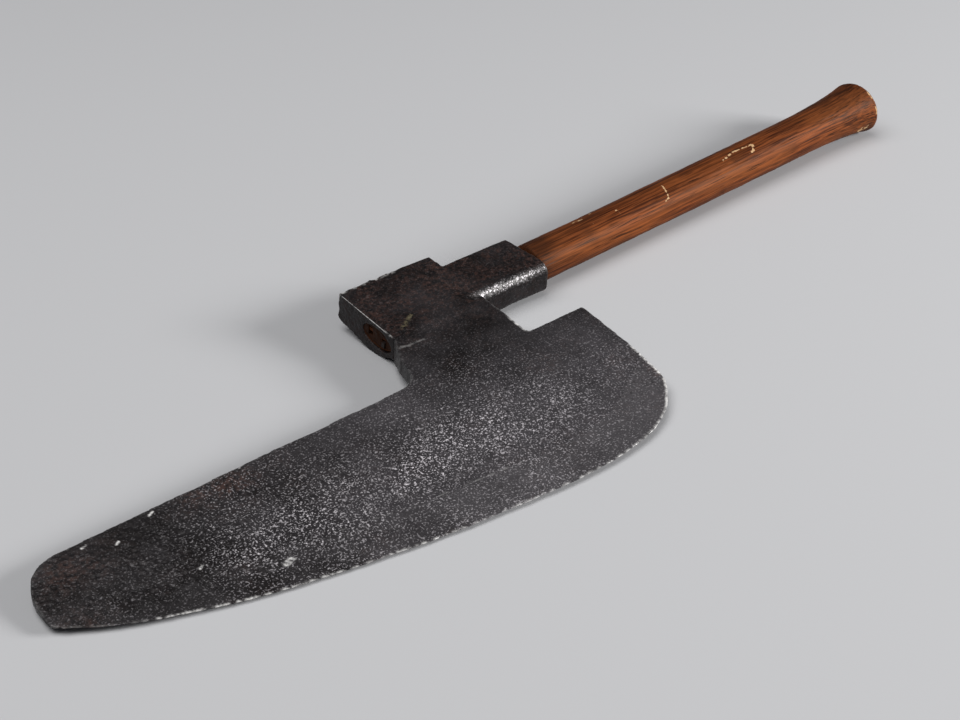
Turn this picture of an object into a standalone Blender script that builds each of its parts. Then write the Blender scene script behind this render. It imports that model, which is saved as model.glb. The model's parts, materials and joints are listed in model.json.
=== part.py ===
"""A goosewing side axe, lying on its eye bulge and bevel with the hewing face up.

Metres, +Z up. The head is drawn in millimetres on its flat hewing face: u runs along the
haft from the poll end, v runs from the back of the poll to the cutting edge, and depth is
measured down from the flat face. The drawn head then leans on the floor as it rests.
"""

import math

import bmesh
import bpy
from mathutils import Matrix, Vector
from mathutils.geometry import delaunay_2d_cdt

MM = 0.001
GAP = 0.3  # clearance that pieces which touch keep from each other

# How the head lies: the cutting edge leans down, the butt end of the haft lifts.
EDGE_LEAN = math.radians(6.35)
HAFT_LIFT = math.radians(1.24)

# Poll block and socket, on the hewing face
POLL_LENGTH = 86.0
POLL_BACK = -4.0
SOCKET_BACK = 11.0
SOCKET_FRONT = 59.0
SOCKET_MOUTH = 152.5
MOUTH_SLANT = 5.0
WELD_LINE = 66.0  # where the eye strap is welded to the neck of the blade
BULGE_DEPTH = 28.2

# Blade
SPINE = 115.5
NECK_RIGHT = 86.0
HEEL = 139.0
TOE = -330.0
SPINE_THICK = 6.4
BEVEL_TOP_THICK = 5.2
NECK_THICK = 19.5
EDGE_LAND = 0.4
BEVEL_WIDTH = 24.0
STEEL_WIDTH = 33.0

# The cutting edge from toe to heel, as the points its curve passes through
EDGE_POINTS = (
    (-325.0, 176.5),
    (-287.0, 198.0),
    (-213.0, 224.0),
    (-107.0, 245.0),
    (-16.0, 255.0),
    (35.0, 256.5),
    (78.0, 251.0),
    (107.0, 238.0),
    (124.0, 221.0),
)

# Haft: its axis leaves the hewing face's direction a little, and it bows as it runs out
HAFT_YAW = math.radians(3.63)
HAFT_PITCH = math.radians(0.765)
HAFT_START_V = 44.7
HAFT_START_DEPTH = 12.1
HAFT_BOW = 0.9
TENON_START = 1.6
TENON_WIDE = (17.0, 18.4)
TENON_THICK = (8.2, 10.6)
MOUTH_AT = 154.0
SHOULDER_END = 158.0
GRIP_END = 539.0
FLARE_START = 481.0
FLARE_POWER = 2.6
RIM_AT = 578.0
RIM_SLOPE = (0.15, -0.10)  # of the cut end, sideways and upwards
BUTT_DOME = 8.0
GRIP_WIDE = (17.9, 18.9)
GRIP_THICK = (16.2, 18.2)
BUTT_RADIUS = 24.0

# Wedges in the end of the tenon
KERF_WIDTH = 3.0
KERF_SPAN = 25.0
KERF_LENGTH = 52.0
KERF_RECESS = 2.4
KERF_PLACE = (1.5, 2.0)  # sideways and upwards from the haft's axis
IRON_THICK = 3.4
IRON_SPAN = 4.4
IRON_LENGTH = 24.0
IRON_PLACE = (6.0, -3.4)
WEDGE_TIP = 0.5


def at(u, v, depth=0.0):
    """A point of the head drawing, in metres."""
    return Vector((u, -v, -depth)) * MM


def smooth(t):
    t = min(max(t, 0.0), 1.0)
    return t * t * (3.0 - 2.0 * t)


def mix(low, high, t):
    return low + (high - low) * t


def curve_through(points, steps):
    """A smooth curve through the points, with the given number of steps between each two."""
    knots = [Vector(p) for p in points]
    knots = [2 * knots[0] - knots[1], *knots, 2 * knots[-1] - knots[-2]]
    curve = []
    for before, start, end, after in zip(knots, knots[1:], knots[2:], knots[3:]):
        for step in range(steps):
            t = step / steps
            curve.append(
                0.5
                * (
                    2 * start
                    + (end - before) * t
                    + (2 * before - 5 * start + 4 * end - after) * t**2
                    + (3 * start - before - 3 * end + after) * t**3
                )
            )
    curve.append(knots[-2])
    return curve


def arc(centre, radii, start, end, steps):
    """Points of an elliptical arc, its angles in degrees from +u towards +v."""
    angles = [math.radians(mix(start, end, i / steps)) for i in range(steps + 1)]
    return [
        Vector((centre[0] + radii[0] * math.cos(a), centre[1] + radii[1] * math.sin(a)))
        for a in angles
    ]


def distance_to(point, line):
    """Distance from a point to a line of points."""
    nearest = math.inf
    for start, end in zip(line, line[1:]):
        along = end - start
        share = min(max((point - start).dot(along) / along.length_squared, 0.0), 1.0)
        nearest = min(nearest, (start + along * share - point).length)
    return nearest


def material(name, colour, roughness, metallic):
    made = bpy.data.materials.new(name)
    made.use_nodes = True
    shader = made.node_tree.nodes["Principled BSDF"]
    shader.inputs["Base Color"].default_value = (*colour, 1.0)
    shader.inputs["Roughness"].default_value = roughness
    shader.inputs["Metallic"].default_value = metallic
    made.diffuse_color = (*colour, 1.0)
    return made


def add_object(name, mesh, finish=None, smooth_faces=False):
    """An object of the closed bmesh, with its normals facing out."""
    bmesh.ops.recalc_face_normals(mesh, faces=mesh.faces)
    for face in mesh.faces:
        face.smooth = smooth_faces
    data = bpy.data.meshes.new(name)
    mesh.to_mesh(data)
    mesh.free()
    made = bpy.data.objects.new(name, data)
    bpy.context.collection.objects.link(made)
    if finish:
        data.materials.append(finish)
    return made


def loft(name, sections, finish=None, smooth_faces=False):
    """A closed skin over sections that have the same number of points."""
    mesh = bmesh.new()
    rings = [[mesh.verts.new(point) for point in section] for section in sections]
    for ring, following in zip(rings, rings[1:]):
        for i in range(len(ring)):
            j = (i + 1) % len(ring)
            mesh.faces.new((ring[i], ring[j], following[j], following[i]))
    mesh.faces.new(rings[0])
    mesh.faces.new(rings[-1])
    return add_object(name, mesh, finish, smooth_faces)


def cutter(name, sections):
    made = loft(name, sections)
    made.hide_render = True
    made.display_type = "WIRE"
    return made


def combine(target, operation, other):
    """Adds a Boolean modifier to the target and hides the other object."""
    modifier = target.modifiers.new(f"{operation.lower()} {other.name}", "BOOLEAN")
    modifier.operation = operation
    modifier.object = other
    modifier.solver = "EXACT"
    other.hide_render = True
    other.display_type = "WIRE"


# Blade ------------------------------------------------------------------------------


def edge_curve():
    return curve_through(EDGE_POINTS, 7)


def edge_stations():
    """Along the edge from toe to heel: the edge point and the way into the blade from it."""
    curve = edge_curve()
    stations = []
    for i, point in enumerate(curve):
        along = (curve[min(i + 1, len(curve) - 1)] - curve[max(i - 1, 0)]).normalized()
        square = Vector((along.y, -along.x))
        share = i / (len(curve) - 1)
        end_way = Vector((-0.12 if share < 0.5 else 0.12, -1.0)).normalized()
        at_end = max(smooth(1.0 - 8.0 * share), smooth(1.0 - 5.0 * (1.0 - share)))
        stations.append((point, square.lerp(end_way, at_end).normalized()))
    return stations


def blade_outline():
    """The blade from the toe along the edge to the heel, and back by the neck."""
    edge = edge_curve()
    heel_corner = curve_through(((128.5, 215.0), (132.0, 203.0), (134.5, 189.0)), 3)
    heel = curve_through(((136.5, 172.0), (138.0, 145.0), (HEEL, SPINE + 1.0)), 2)
    spine_corner = arc((HEEL - 2.0, SPINE + 1.0), (2.0, 2.0), -30, -90, 2)
    notch = arc((NECK_RIGHT + 2.5, SPINE - 3.5), (2.5, 2.5), 90, 180, 3)
    weld = [Vector((NECK_RIGHT, WELD_LINE)), Vector((0.0, WELD_LINE))]
    neck_left = curve_through(((-3.5, 72.0), (-9.0, 85.0), (-13.0, 98.0)), 3)
    throat = arc((-31.0, 96.5), (18.0, 18.0), 8, 88, 6)
    toe_back = arc((-302.0, 160.0), (-302.0 - TOE, 41.0), -92, -180, 9)
    toe_front = arc((TOE + 8.0, 168.0), (8.0, 7.5), 180, 115, 3)
    back = heel_corner + heel + spine_corner + notch + weld + neck_left + throat
    return edge + back + toe_back + toe_front


def neck_share(u, v):
    """How far the neck's thickness reaches at a point of the blade, from 0 to 1."""
    middle = NECK_RIGHT / 2
    beside = max(abs(u - middle) - middle + 12.0, 0.0)
    return smooth((150.0 - v) / 80.0) ** 1.5 * smooth(1.0 - beside / 70.0)


def blade_depth(u, v):
    """Thickness under the hewing face: the bevel, the body behind it, and the neck."""
    from_edge = distance_to(Vector((u, v)), edge_curve())
    if from_edge < BEVEL_WIDTH:
        return mix(EDGE_LAND, BEVEL_TOP_THICK, from_edge / BEVEL_WIDTH)
    body = mix(BEVEL_TOP_THICK, SPINE_THICK, smooth((from_edge - BEVEL_WIDTH) / 90.0))
    return body + (NECK_THICK - SPINE_THICK) * neck_share(u, v)


def make_blade_plate(name, finish):
    """The whole blade: flat above, its thickness and single bevel below."""
    outline = blade_outline()
    bevel_top = [point + way * BEVEL_WIDTH for point, way in edge_stations()[3:-8:2]]
    across = range(int(TOE), int(HEEL), 13)
    down = range(int(WELD_LINE) + 7, 256, 13)
    inner = [Vector((u, v)) for u in across for v in down]
    closed = outline + outline[:1]
    inner = [p for p in inner if min(distance_to(p, closed), distance_to(p, bevel_top)) > 5.0]
    first = len(outline)
    edges = [(first + i, first + i + 1) for i in range(len(bevel_top) - 1)]
    boundary = list(range(len(outline)))
    points, _, faces, *_ = delaunay_2d_cdt(outline + bevel_top + inner, edges, [boundary], 1, 1e-6)
    mesh = bmesh.new()
    used = sorted({i for face in faces for i in face})
    under = {i: mesh.verts.new(at(*points[i], blade_depth(*points[i]))) for i in used}
    for face in faces:
        mesh.faces.new([under[i] for i in face])
    rim = [mesh.verts.new(at(*p)) for p in outline]
    mesh.faces.new(rim)
    for i in boundary:
        j = (i + 1) % len(rim)
        mesh.faces.new((rim[i], rim[j], under[j], under[i]))
    return add_object(name, mesh, finish)


def steel_sections(clearance):
    """A band round the cutting edge, whose inner wall is the scarf between iron and steel."""
    above, below = -5.0, 12.0
    slope = (STEEL_WIDTH - BEVEL_WIDTH) / BEVEL_TOP_THICK
    stations = edge_stations()
    toe_way = (stations[0][0] - stations[1][0]).normalized()
    heel_way = (stations[-1][0] - stations[-2][0]).normalized()
    stations.insert(0, (stations[0][0] + toe_way * 25.0, stations[0][1]))
    stations.append((stations[-1][0] + heel_way * 30.0, stations[-1][1]))
    sections = []
    for point, way in stations:
        outer = point - way * 20.0
        top = point + way * (STEEL_WIDTH + clearance - slope * above)
        low = point + way * (STEEL_WIDTH + clearance - slope * below)
        sections.append(
            (at(*outer, above), at(*outer, below), at(*low, below), at(*top, above))
        )
    return sections


def make_blade(finish):
    blade = make_blade_plate("blade", finish)
    combine(blade, "DIFFERENCE", cutter("steel_bed", steel_sections(GAP)))
    return blade


def make_edge_steel(finish):
    """The steel laid on for the cutting edge, cut from the same plate by the scarf."""
    steel = make_blade_plate("edge_steel", finish)
    combine(steel, "INTERSECT", cutter("steel_band", steel_sections(0.0)))
    return steel


# Poll and socket --------------------------------------------------------------------


def poll_section(u):
    """Across the poll block: square back, bulge under the eye, scarf for the blade."""
    outline = (
        (POLL_BACK, 0.0),
        (POLL_BACK, 19.0),
        (POLL_BACK + 1.2, 22.0),
        (POLL_BACK + 4.0, 23.6),
        (10.0, 24.6),
        (20.0, 25.9),
        (28.0, 27.6),
        (36.0, BULGE_DEPTH),
        (45.0, 27.0),
        (54.0, 24.0),
        (62.0, 20.4),
        (WELD_LINE - GAP, NECK_THICK),
        (WELD_LINE - GAP, 0.0),
    )
    return [at(u, v, depth) for v, depth in outline]


def socket_section(u):
    """Across the socket: a flat top, round corners, deepest under the haft."""
    back, front = SOCKET_BACK, SOCKET_FRONT
    low = BULGE_DEPTH
    corners = (
        ((back + 3.0, 3.0), (3.0, 3.0), 180, 270, 2),
        ((front - 7.5, 9.5), (7.5, 9.5), 270, 360, 5),
        ((front - 10.0, low - 8.5), (10.0, 8.5), 0, 90, 5),
        ((back + 15.0, low - 13.0), (15.0, 13.0), 90, 180, 6),
    )
    outline = [p for corner in corners for p in arc(*corner)]
    slant = smooth((u - POLL_LENGTH) / (SOCKET_MOUTH - POLL_LENGTH)) * MOUTH_SLANT
    return [at(u + slant * (p.x - 35.0) / 48.0, p.x, p.y) for p in outline]


def make_eye_socket(finish):
    poll = loft("eye_socket", [poll_section(u) for u in (0.0, 30.0, 60.0, POLL_LENGTH)], finish)
    edges = (POLL_LENGTH - 20.0, POLL_LENGTH + 10.0, 120.0, SOCKET_MOUTH)
    socket = loft("socket_tube", [socket_section(u) for u in edges])
    combine(poll, "UNION", socket)
    eye = cutter("eye_hole", eye_sections(GAP))
    combine(poll, "DIFFERENCE", eye)
    return poll


# Haft -------------------------------------------------------------------------------


def haft_frame(distance):
    """Centre of the haft and the two directions across it, at a distance along its axis."""
    out = Vector((math.cos(HAFT_YAW), math.sin(HAFT_YAW), -math.sin(HAFT_PITCH))).normalized()
    side = Vector((math.sin(HAFT_YAW), -math.cos(HAFT_YAW), 0.0))
    up = side.cross(out)
    share = (distance - MOUTH_AT) / (RIM_AT - MOUTH_AT)
    bow = 4.0 * share * (1.0 - share) * HAFT_BOW if share > 0 else 0.0
    start = at(0.0, HAFT_START_V, HAFT_START_DEPTH)
    return start + (out * distance - up * bow) * MM, side, up


def oval(distance, wide, thick, count=36):
    """A section of the haft, which leans towards the butt, where the end isn't cut square."""
    centre, side, up = haft_frame(distance)
    slope = flare_share(distance)
    points = []
    for i in range(count):
        turn = math.tau * i / count
        aside, above = wide * math.cos(turn), thick * math.sin(turn)
        onward = slope * (RIM_SLOPE[0] * aside + RIM_SLOPE[1] * above)
        points.append(centre + (side * aside + up * above + up.cross(side) * onward) * MM)
    return points


def flare_share(distance):
    """How far the haft has widened towards its butt, from 0 to 1."""
    return min(max((distance - FLARE_START) / (RIM_AT - FLARE_START), 0.0), 1.0) ** FLARE_POWER


def tenon_radii(distance):
    share = distance / MOUTH_AT
    return mix(*TENON_WIDE, share), mix(*TENON_THICK, share)


def eye_sections(clearance):
    """Sections of the eye, which the tenon fills all but the clearance."""
    sections = []
    for distance in (-20.0, 0.0, MOUTH_AT, MOUTH_AT + 20.0):
        wide, thick = tenon_radii(distance)
        sections.append(oval(distance, wide + clearance, thick + clearance))
    return sections


def grip_radii(distance):
    """Half width and half thickness of the haft outside the socket, flared at the butt."""
    share = (distance - SHOULDER_END) / (GRIP_END - SHOULDER_END)
    wide = mix(*GRIP_WIDE, smooth(share))
    thick = mix(*GRIP_THICK, smooth(share))
    flare = flare_share(distance)
    return mix(wide, BUTT_RADIUS, flare), mix(thick, BUTT_RADIUS, flare)


def make_haft(finish):
    sections = []
    for distance in (TENON_START, 40.0, 80.0, 120.0, MOUTH_AT):
        sections.append(oval(distance, *tenon_radii(distance)))
    for distance, less in ((MOUTH_AT + 0.3, 1.3), (MOUTH_AT + 1.2, 0.4)):
        sections.append(oval(distance, *[radius - less for radius in grip_radii(distance)]))
    steps = 20
    for i in range(steps + 1):
        distance = mix(SHOULDER_END, FLARE_START, i / steps)
        sections.append(oval(distance, *grip_radii(distance)))
    steps = 16
    for i in range(1, steps + 1):
        distance = mix(FLARE_START, RIM_AT, i / steps)
        sections.append(oval(distance, *grip_radii(distance)))
    for degrees in (20, 38, 54, 68, 80, 88):
        turn = math.radians(degrees)
        radius = BUTT_RADIUS * math.sqrt(math.cos(turn))
        sections.append(oval(RIM_AT + BUTT_DOME * math.sin(turn), radius, radius))
    haft = loft("haft", sections, finish, smooth_faces=True)
    combine(haft, "DIFFERENCE", cutter("kerf", kerf_sections(GAP, -10.0)))
    combine(haft, "DIFFERENCE", cutter("iron_slot", iron_sections(GAP, -10.0)))
    return haft


def block_sections(stations):
    """Rectangles across the haft: (distance, side offset, up offset, half side, half up)."""
    sections = []
    for distance, aside, above, half_side, half_up in stations:
        centre, side, up = haft_frame(distance)
        centre = centre + (side * aside + up * above) * MM
        sections.append(
            [
                centre + (side * half_side * i + up * half_up * j) * MM
                for i, j in ((-1, -1), (1, -1), (1, 1), (-1, 1))
            ]
        )
    return sections


def kerf_sections(clearance, start):
    """The wooden wedge and, with clearance, the saw kerf that it fills."""
    sections = []
    for distance in (start, KERF_LENGTH + clearance):
        half_width = mix(KERF_WIDTH / 2, WEDGE_TIP, distance / KERF_LENGTH) + clearance
        sections.append((distance, *KERF_PLACE, KERF_SPAN / 2 + clearance, half_width))
    return block_sections(sections)


def iron_sections(clearance, start):
    """The iron wedge, driven in beside the wooden one, and with clearance its slot."""
    sections = []
    for distance in (start, IRON_LENGTH + clearance):
        half_width = mix(IRON_THICK / 2, WEDGE_TIP, distance / IRON_LENGTH) + clearance
        sections.append((distance, *IRON_PLACE, half_width, IRON_SPAN / 2 + clearance))
    return block_sections(sections)


# Assembly ---------------------------------------------------------------------------


def clear_scene():
    for old in list(bpy.data.objects):
        bpy.data.objects.remove(old, do_unlink=True)


def lay_on_floor(pieces, tools):
    """Leans the drawn head as it rests, and puts the middle of its footprint at the origin."""
    rest = bpy.data.objects.new("rest_pose", None)
    bpy.context.collection.objects.link(rest)
    lean = Matrix.Rotation(-HAFT_LIFT, 4, "Y") @ Matrix.Rotation(EDGE_LEAN, 4, "X")
    for made in pieces + tools:
        made.parent = rest
    rest.matrix_world = lean
    bpy.context.view_layer.update()
    graph = bpy.context.evaluated_depsgraph_get()
    corners = [
        lean @ vertex.co
        for made in pieces
        for vertex in made.evaluated_get(graph).data.vertices
    ]
    low = Vector([min(c[i] for c in corners) for i in range(3)])
    high = Vector([max(c[i] for c in corners) for i in range(3)])
    rest.location = (-(low.x + high.x) / 2, -(low.y + high.y) / 2, -low.z)


def main():
    clear_scene()
    iron = material("forged iron", (0.10, 0.095, 0.09), 0.55, 0.9)
    rusty = material("rusted iron", (0.13, 0.095, 0.08), 0.62, 0.8)
    steel = material("edge steel", (0.24, 0.235, 0.23), 0.42, 1.0)
    wood = material("varnished ash", (0.33, 0.15, 0.06), 0.38, 0.0)
    pale_wood = material("wedge wood", (0.26, 0.14, 0.07), 0.7, 0.0)
    wedge_iron = material("wedge iron", (0.32, 0.30, 0.28), 0.55, 0.9)
    pieces = [
        make_blade(iron),
        make_edge_steel(steel),
        make_eye_socket(rusty),
        make_haft(wood),
        loft("kerf_wedge", kerf_sections(0.0, KERF_RECESS), pale_wood),
        loft("iron_wedge", iron_sections(0.0, TENON_START - 0.8), wedge_iron),
    ]
    tools = [o for o in bpy.data.objects if o not in pieces and o.type == "MESH"]
    lay_on_floor(pieces, tools)


main()
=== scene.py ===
"""Looks of the side axe: pitted forged iron, laid-on steel, wedges and a worn varnished haft."""

import math

import bmesh
import bpy
import numpy as np
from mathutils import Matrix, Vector
from mathutils.bvhtree import BVHTree
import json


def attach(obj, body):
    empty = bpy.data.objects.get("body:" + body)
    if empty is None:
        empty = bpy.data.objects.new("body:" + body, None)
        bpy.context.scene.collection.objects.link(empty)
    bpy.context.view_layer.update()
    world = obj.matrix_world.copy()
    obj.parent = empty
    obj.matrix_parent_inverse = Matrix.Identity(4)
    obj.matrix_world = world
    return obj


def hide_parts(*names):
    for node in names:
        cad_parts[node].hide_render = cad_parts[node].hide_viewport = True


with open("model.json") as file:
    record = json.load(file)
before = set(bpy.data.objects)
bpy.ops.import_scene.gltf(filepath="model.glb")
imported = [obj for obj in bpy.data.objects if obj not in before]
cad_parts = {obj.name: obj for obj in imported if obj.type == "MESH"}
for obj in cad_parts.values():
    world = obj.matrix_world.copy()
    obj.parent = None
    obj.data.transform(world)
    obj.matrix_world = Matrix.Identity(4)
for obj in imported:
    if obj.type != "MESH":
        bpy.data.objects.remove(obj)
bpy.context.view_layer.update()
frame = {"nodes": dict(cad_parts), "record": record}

MM = 0.001
PLATE_STEP = 0.78  # mm between cuts across the shown faces of the blade
UNDER_STEP = 3.6  # mm between cuts across its underside
RIM_STEP = 1.2  # mm between cuts through its thickness
LUMP_VOXEL = 0.85  # mm, remeshing of the poll and socket
WEDGE_VOXEL = 0.3  # mm, remeshing of the wedges
HAFT_ROUND = 160  # points round the haft
HAFT_STEP = 1.0  # mm between rings of the haft

# Head coordinates: u along the head from the poll end, v from the poll to the edge, depth
# below the hewing face, all in millimetres. They follow from the record's mounts. The toe
# is at u -332, the heel at u 138 and the cutting edge at v 195 to 250.

MOUNTS = {mount["name"]: mount for mount in frame["record"]["mounts"]}
UP = Vector(MOUNTS["hewing_face"]["axis"]).normalized()
BACK = Vector(MOUNTS["poll_back"]["axis"]).normalized()
ALONG = BACK.cross(UP).normalized()
POLL_MIDDLE = 43.0  # u of the mount on the back of the poll
POLL_BACK = -4.0  # its v


def head_origin():
    poll = Vector(MOUNTS["poll_back"]["pos_m"])
    face = Vector(MOUNTS["hewing_face"]["pos_m"])
    raised = poll + UP * (face - poll).dot(UP)
    return raised - (ALONG * POLL_MIDDLE - BACK * POLL_BACK) * MM


ORIGIN = np.array(head_origin())
AXES = np.array([ALONG, -BACK, -UP])


def to_head(points):
    return (np.asarray(points) - ORIGIN) @ AXES.T / MM


def from_head(points):
    return np.asarray(points) * MM @ AXES + ORIGIN


# Noise ------------------------------------------------------------------------------

HASH_WAYS = (73856093, 19349663, 83492791)  # large odd numbers that scatter the cells
HASH_SEED = 2654435761
HASH_MIX = (1274126177, 668265263)
HASH_BITS = 0x7FFFFFFF
HASH_STEPS = 0xFFFFF  # steps from 0 to 1
WAVE_SHIFT = 517.3  # cells that the lattice of the waves is moved by, off the head's planes
CRATER_SHIFT = 411.7  # the same for the lattice of the pits
CRATER_INSET = 0.2  # least way of a pit's middle from the sides of its cell, in cells
CRATER_RADIUS = (0.35, 0.75)  # least and largest, in cells
CRATER_DEPTH = (0.45, 1.0)  # least and largest share of the whole depth


def smooth(x):
    x = np.clip(x, 0.0, 1.0)
    return x * x * (3.0 - 2.0 * x)


def rise(x, start, end):
    """0 at the start and before it, 1 at the end and past it, smooth between them."""
    return smooth((x - start) / (end - start))


def between(low, high, share):
    return low + (high - low) * share


def chance(cells, seed):
    """A repeatable number from 0 to 1 for each cell of a whole-number lattice."""
    x, y, z = np.moveaxis(cells.astype(np.int64), -1, 0)
    mixed = x * HASH_WAYS[0] ^ y * HASH_WAYS[1] ^ z * HASH_WAYS[2]
    mixed = (mixed ^ (seed * HASH_SEED)) & HASH_BITS
    mixed = (mixed ^ (mixed >> 13)) * HASH_MIX[0] & HASH_BITS
    mixed = (mixed ^ (mixed >> 15)) * HASH_MIX[1] & HASH_BITS
    return ((mixed ^ (mixed >> 16)) & HASH_STEPS) / HASH_STEPS


def waves(points, size, seed):
    """Smooth noise from -1 to 1, with features of this size in millimetres."""
    scaled = points / size + WAVE_SHIFT
    base = np.floor(scaled)
    share = smooth(scaled - base)
    total = np.zeros(len(points))
    for corner in np.ndindex(2, 2, 2):
        weight = np.prod(np.where(corner, share, 1.0 - share), axis=1)
        total += weight * chance(base + corner, seed)
    return total * 2.0 - 1.0


def fractal(points, size, seed, octaves=3):
    """Waves of this size with finer and weaker ones on top."""
    total = np.zeros(len(points))
    for octave in range(octaves):
        total += waves(points, size / 2**octave, seed + octave) / 2**octave
    return total


def craters(points, size, seed, fill):
    """Depth from 0 to 1 of round pits scattered one to a cell; fill is the share of cells."""
    scaled = points / size + CRATER_SHIFT
    base = np.floor(scaled)
    deepest = np.zeros(len(points))
    for corner in np.ndindex(3, 3, 3):
        cell = base + corner - 1.0
        place = np.stack([chance(cell, seed + i) for i in range(3)], axis=1)
        middle = cell + between(CRATER_INSET, 1.0 - CRATER_INSET, place)
        radius = between(*CRATER_RADIUS, chance(cell, seed + 3))
        filled = chance(cell, seed + 4) < fill
        depth = np.where(filled, between(*CRATER_DEPTH, chance(cell, seed + 5)), 0.0)
        away = np.linalg.norm(scaled - middle, axis=1) / radius
        deepest = np.maximum(deepest, depth * (1.0 - smooth(away)))
    return deepest


def near(points, place, reach):
    """1 at a place in head coordinates, falling to 0 at its reach; each is (u, v)."""
    away = (points[:, :2] - np.array(place)) / np.array(reach)
    return 1.0 - smooth(np.linalg.norm(away, axis=1))


def near_line(points, start, end, reach):
    """1 along a straight line in the first two coordinates, falling to 0 at its reach."""
    start, end = np.array(start, float), np.array(end, float)
    way = end - start
    share = np.clip((points[:, :2] - start) @ way / (way @ way), 0.0, 1.0)
    away = points[:, :2] - start - share[:, None] * way
    return 1.0 - smooth(np.linalg.norm(away, axis=1) / reach)


# Meshes -----------------------------------------------------------------------------

SAME_PLACE = 2e-6  # metres within which the CAD's vertices are one
SAME_PLANE = math.radians(0.6)  # angle within which its triangles are one flat facet
UNDER_SLOPE = 0.6  # faces whose normal points further down than this are the underside
RIM_SLOPE = 0.3  # faces whose normal points less up or down than this are the rim
MOST_CORNERS = 4  # faces with more corners are cut into triangles


def cad_bmesh(node):
    """The CAD node in head coordinates, with each flat facet as one face."""
    mesh = bmesh.new()
    mesh.from_mesh(frame["nodes"][node].data)
    bmesh.ops.remove_doubles(mesh, verts=mesh.verts, dist=SAME_PLACE)
    moved = to_head([v.co for v in mesh.verts])
    for vertex, place in zip(mesh.verts, moved):
        vertex.co = place
    mesh.normal_update()
    bmesh.ops.dissolve_limit(
        mesh, angle_limit=SAME_PLANE, verts=mesh.verts, edges=mesh.edges
    )
    return mesh


def cad_tree(node):
    mesh = cad_bmesh(node)
    tree = BVHTree.FromBMesh(mesh)
    mesh.free()
    return tree


def cut_across(mesh, axis, step, chosen):
    """Cuts the chosen faces by planes across the axis, one step apart."""
    faces = [face for face in mesh.faces if chosen(face)]
    places = [v.co[axis] for face in faces for v in face.verts]
    across = Vector([float(i == axis) for i in range(3)])
    place = min(places) + 0.5 * step
    while place < max(places):
        edges = {edge for face in faces for edge in face.edges}
        verts = {vert for face in faces for vert in face.verts}
        made = bmesh.ops.bisect_plane(
            mesh,
            geom=[*verts, *edges, *faces],
            dist=1e-4,
            plane_co=across * place,
            plane_no=across,
        )
        faces = [
            item
            for item in made["geom"]
            if isinstance(item, bmesh.types.BMFace)
            and max(v.co[axis] for v in item.verts) > place + 1e-3
        ]
        place += step


def dense_plate(node):
    """The blade or its steel: fine cells above and round its rim, coarser below."""
    mesh = cad_bmesh(node)
    for axis in (0, 1):
        cut_across(mesh, axis, UNDER_STEP, lambda face: face.normal.z > UNDER_SLOPE)
    for axis in (0, 1):
        cut_across(mesh, axis, PLATE_STEP, lambda face: face.normal.z < UNDER_SLOPE)
    cut_across(mesh, 2, RIM_STEP, lambda face: abs(face.normal.z) < RIM_SLOPE)
    many = [face for face in mesh.faces if len(face.verts) > MOST_CORNERS]
    bmesh.ops.triangulate(mesh, faces=many)
    return as_data(mesh)


def dense_lump(node, voxel, passes):
    """The node remeshed with small even cells, its corners softened."""
    mesh = cad_bmesh(node)
    bmesh.ops.triangulate(mesh, faces=mesh.faces)
    holder = bpy.data.objects.new(f"{node}_draft", as_data(mesh))
    bpy.context.collection.objects.link(holder)
    remesh = holder.modifiers.new("cells", "REMESH")
    remesh.mode = "VOXEL"
    remesh.voxel_size = voxel
    soften = holder.modifiers.new("soften", "SMOOTH")
    soften.factor = 0.5
    soften.iterations = passes
    graph = bpy.context.evaluated_depsgraph_get()
    made = bpy.data.meshes.new_from_object(holder.evaluated_get(graph))
    bpy.data.objects.remove(holder)
    return made


def as_data(mesh):
    data = bpy.data.meshes.new("draft")
    mesh.to_mesh(data)
    mesh.free()
    return data


def points_of(data):
    points = np.empty(len(data.vertices) * 3, np.float32)
    data.vertices.foreach_get("co", points)
    return points.reshape(-1, 3).astype(np.float64)


def normals_of(data):
    normals = np.empty(len(data.vertices) * 3, np.float32)
    data.vertex_normals.foreach_get("vector", normals)
    return normals.reshape(-1, 3).astype(np.float64)


def set_points(data, points):
    data.vertices.foreach_set("co", np.ascontiguousarray(points, np.float32).ravel())
    data.update()


def edge_ends(data):
    """The two vertices of each edge, as two arrays."""
    ends = np.empty(len(data.edges) * 2, np.int32)
    data.edges.foreach_get("vertices", ends)
    return ends.reshape(-1, 2).T


def convexity(data, points, normals):
    """How far each vertex stands above its neighbours, as a slope."""
    a, b = edge_ends(data)
    way = points[b] - points[a]
    length = np.linalg.norm(way, axis=1) + 1e-9
    total = np.zeros(len(points))
    count = np.zeros(len(points))
    np.add.at(total, a, -(way * normals[a]).sum(axis=1) / length)
    np.add.at(total, b, (way * normals[b]).sum(axis=1) / length)
    np.add.at(count, a, 1.0)
    np.add.at(count, b, 1.0)
    return total / np.maximum(count, 1.0)


def spread(data, values, share):
    """Each value, or this share of the largest among its neighbours."""
    a, b = edge_ends(data)
    wider = values.copy()
    np.maximum.at(wider, a, share * values[b])
    np.maximum.at(wider, b, share * values[a])
    return wider


def keep_looks(data, **looks):
    """Keeps each look, from 0 to 1, as an attribute that the materials read."""
    for name, values in looks.items():
        attribute = data.attributes.new(name, "FLOAT", "POINT")
        each = np.broadcast_to(values, len(data.vertices))
        attribute.data.foreach_set("value", np.ascontiguousarray(each, np.float32))


def keep_grain(data, places):
    """Keeps coordinates whose first runs along the grain of the wood."""
    attribute = data.attributes.new("grain", "FLOAT_VECTOR", "POINT")
    attribute.data.foreach_set("vector", np.ascontiguousarray(places, np.float32).ravel())


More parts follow.
